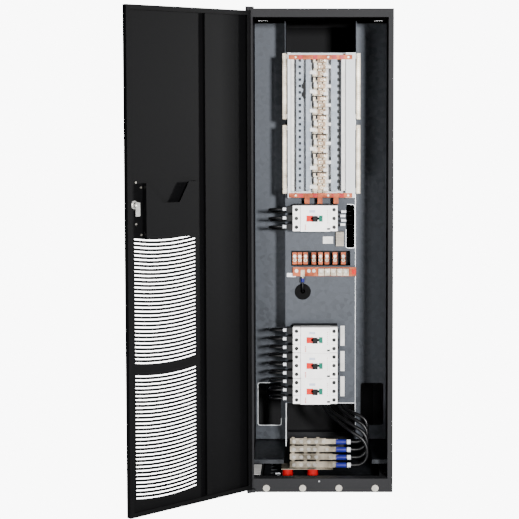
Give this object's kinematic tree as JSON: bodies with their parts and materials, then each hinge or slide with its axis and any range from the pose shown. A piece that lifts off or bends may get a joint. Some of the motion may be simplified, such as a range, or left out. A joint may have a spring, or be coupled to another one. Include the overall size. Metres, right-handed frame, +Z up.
{
  "type": "automatic transfer switch",
  "caption": "Tall floor-standing power switching cabinet, hinged vented door open on a panelboard, moulded-case breakers, copper bars and cables.",
  "frame": {"origin": "centre of the floor anchor holes, on the floor", "axes": "+Z up, +X to the right seen from the front, +Y to the back; the front of the cabinet faces -Y and the door stands open at rest"},
  "size_m": [0.9814, 1.19, 1.882],
  "materials": {
    "case_paint": "satin powder coat",
    "door_paint": "satin powder coat",
    "zinc": "galvanised, spangled",
    "white_sheet": "satin white",
    "steel": "bright zinc",
    "chrome": "polished",
    "copper": "bare copper",
    "tinned": "dull tin plate",
    "rail_grey": "moulded",
    "beige": "moulded",
    "white_plastic": "moulded",
    "breaker_white": "moulded",
    "black_plastic": "moulded",
    "red_plastic": "moulded",
    "green_plastic": "moulded",
    "cable_black": "insulation",
    "blue_sleeve": "heat shrink",
    "black_rubber": "moulded"
  },
  "bodies": {
    "cabinet": {"bar_supports": "beige", "breaker_bases": "black_plastic", "breaker_covers": "breaker_white", "bus_tongues": "tinned", "cable_grommet": "black_rubber", "cable_lugs": "tinned", "column_sides": "zinc", "column_web": "zinc", "control_wires": "cable_black", "corner_posts": "case_paint", "cross_bars": "copper", "feed_straps": "copper", "floor_pan": "zinc", "front_skirt": "case_paint", "gear_screws": "steel", "gland_shelves": "zinc", "guide_rails": "rail_grey", "heat_shrinks": "blue_sleeve", "hex_bolts": "steel", "hinge_brackets": "case_paint", "hinge_pins": "steel", "incoming_lugs": "copper", "landing_bars": "tinned", "lug_recess": "black_plastic", "lug_shields": "black_plastic", "marker_plates": "white_plastic", "mounting_plates": "zinc", "neutral_bar": "copper", "neutral_connectors": "tinned", "off_plates": "green_plastic", "on_plates": "red_plastic", "panel_tray": "white_sheet", "phase_bars": "tinned", "plinth_rails": "case_paint", "power_cables": "cable_black", "rear_panel": "case_paint", "roof_panel": "case_paint", "side_panels": "case_paint", "skirt_bolts": "steel", "standoffs": "red_plastic", "strip_insulators": "white_plastic", "terminal_bars": "tinned", "terminal_block": "beige", "toggle_pins": "steel", "top_rails": "case_paint", "wing_panels": "zinc"},
    "door": {"door_skin": "door_paint", "door_folds": "door_paint", "document_pocket": "door_paint", "lock_barrel": "chrome", "door_screws": "steel"},
    "lock_cam": {"lock_cam": "chrome"},
    "toggle_main": {"toggle_main": "black_plastic"},
    "trip_button_main": {"trip_button_main": "black_plastic"},
    "toggle_top": {"toggle_top": "black_plastic"},
    "trip_button_top": {"trip_button_top": "black_plastic"},
    "toggle_middle": {"toggle_middle": "black_plastic"},
    "trip_button_middle": {"trip_button_middle": "black_plastic"},
    "toggle_bottom": {"toggle_bottom": "black_plastic"},
    "trip_button_bottom": {"trip_button_bottom": "black_plastic"}
  },
  "joints": [
    {"name": "door_hinge", "type": "hinge", "parent": "cabinet", "child": "door", "pos_m": [-0.278, -0.416, 0.9415], "axis": [0, 0, 1], "range_deg": [-6, 139]},
    {"name": "lock_turn", "type": "hinge", "parent": "door", "child": "lock_cam", "pos_m": [-0.66668, -0.75387, 1.152], "axis": [-0.6561, 0.7547, 0], "range_deg": [0, 90]},
    {"name": "toggle_main_swing", "type": "hinge", "parent": "cabinet", "child": "toggle_main", "pos_m": [-0.022, -0.192, 1.056], "axis": [0, 0, 1], "range_deg": [-13, 13]},
    {"name": "trip_main_push", "type": "slide", "parent": "cabinet", "child": "trip_button_main", "axis": [0, 1, 0], "range_m": [0, 0.002], "stiffness_N_per_m": 300},
    {"name": "toggle_top_swing", "type": "hinge", "parent": "cabinet", "child": "toggle_top", "pos_m": [-0.022, -0.192, 0.568], "axis": [0, 0, 1], "range_deg": [-13, 13]},
    {"name": "trip_top_push", "type": "slide", "parent": "cabinet", "child": "trip_button_top", "axis": [0, 1, 0], "range_m": [0, 0.002], "stiffness_N_per_m": 300},
    {"name": "toggle_middle_swing", "type": "hinge", "parent": "cabinet", "child": "toggle_middle", "pos_m": [-0.022, -0.192, 0.464], "axis": [0, 0, 1], "range_deg": [-13, 13]},
    {"name": "trip_middle_push", "type": "slide", "parent": "cabinet", "child": "trip_button_middle", "axis": [0, 1, 0], "range_m": [0, 0.002], "stiffness_N_per_m": 300},
    {"name": "toggle_bottom_swing", "type": "hinge", "parent": "cabinet", "child": "toggle_bottom", "pos_m": [-0.022, -0.192, 0.36], "axis": [0, 0, 1], "range_deg": [-13, 13]},
    {"name": "trip_bottom_push", "type": "slide", "parent": "cabinet", "child": "trip_button_bottom", "axis": [0, 1, 0], "range_m": [0, 0.002], "stiffness_N_per_m": 300}
  ]
}
